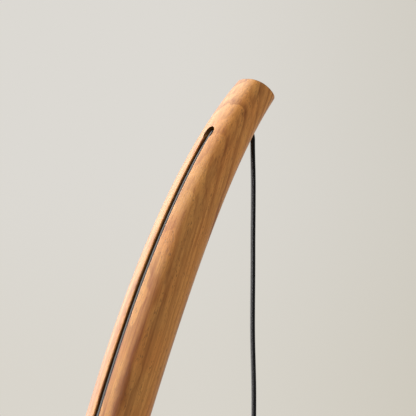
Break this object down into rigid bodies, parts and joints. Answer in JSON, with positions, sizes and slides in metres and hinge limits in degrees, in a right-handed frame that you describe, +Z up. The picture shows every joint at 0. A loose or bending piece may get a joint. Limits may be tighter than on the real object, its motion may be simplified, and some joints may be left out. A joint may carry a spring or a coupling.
{
  "type": "floor lamp",
  "caption": "Floor lamp with a bent oval wooden arm on a weighted round base, a cord let into the arm's back, and a domed shade hung from the tip on its cord.",
  "frame": {"origin": "on the floor, under the middle of the round base", "axes": "+Z up, +X the way the arm leans over, +Y to the left seen from behind the arm"},
  "size_m": [0.8002, 0.4218, 1.7561],
  "materials": {
    "oak": "oiled, satin",
    "black_steel": "matt black powder coat",
    "zinc_steel": "zinc plated",
    "iron": "as cast",
    "brass": "bright",
    "rubber": "matt",
    "cord": "smooth, slightly glossy black sheath",
    "black_plastic": "fine texture",
    "ceramic": "glazed",
    "opal": "opal",
    "white_plastic": "smooth"
  },
  "bodies": {
    "lamp": {"base_pad": "rubber", "bottom_plate": "zinc_steel", "plate_screws": "zinc_steel", "ballast": "iron", "base_cover": "black_steel", "arm_washers": "zinc_steel", "arm_bolts": "zinc_steel", "arm_inserts": "brass", "cord_grommet": "rubber", "lead_gland": "rubber", "gland_nut": "zinc_steel", "arm_lower": "oak", "arm_upper": "oak", "arm_stud": "zinc_steel", "stud_inserts": "brass", "arm_dowels": "oak", "arm_cord": "cord", "lead_run_a": "cord", "switch_pad": "rubber", "switch_base": "black_plastic", "switch_block": "white_plastic", "button_spring": "zinc_steel", "switch_cover": "black_plastic", "switch_screws": "zinc_steel", "switch_boots": "rubber", "lead_run_b": "cord", "lead_coil": "cord", "coil_tie": "rubber", "lead_run_c": "cord", "plug_body": "black_plastic", "plug_pins": "brass"},
    "cord_bend": {"cord_bend": "cord"},
    "pendant": {"pendant_cord": "cord", "cord_grip": "black_plastic", "grip_screw": "zinc_steel", "holder_cap": "black_steel", "holder_body": "black_plastic", "holder_core": "ceramic", "terminal_screws": "brass", "core_wires": "white_plastic", "screw_shell": "brass", "centre_contact": "brass", "shade_ring": "black_plastic", "shade": "black_steel"},
    "bulb": {"bulb_tip": "brass", "bulb_insulator": "black_plastic", "bulb_cap": "zinc_steel", "bulb_glass": "opal", "led_column": "white_plastic"},
    "foot_button": {"foot_button": "black_plastic"}
  },
  "joints": [
    {"name": "cord_swing_side", "type": "hinge", "parent": "lamp", "child": "cord_bend", "pos_m": [0.30165, 0, 1.7035], "axis": [0.9976, 0, 0.0698], "range_deg": [-15, 15]},
    {"name": "cord_swing_fore_aft", "type": "hinge", "parent": "cord_bend", "child": "pendant", "pos_m": [0.31321, 0, 1.68872], "axis": [0, 1, 0], "range_deg": [-15, 8]},
    {"name": "bulb_turn", "type": "hinge", "parent": "pendant", "child": "bulb", "pos_m": [0.31321, 0, 1.22862], "axis": [0, 0, 1], "continuous": true},
    {"name": "foot_button_press", "type": "slide", "parent": "lamp", "child": "foot_button", "axis": [0, 0, -1], "range_m": [0, 0.004], "stiffness_N_per_m": 600, "springref_m": -0.003, "deforming": ["button_spring"]}
  ]
}
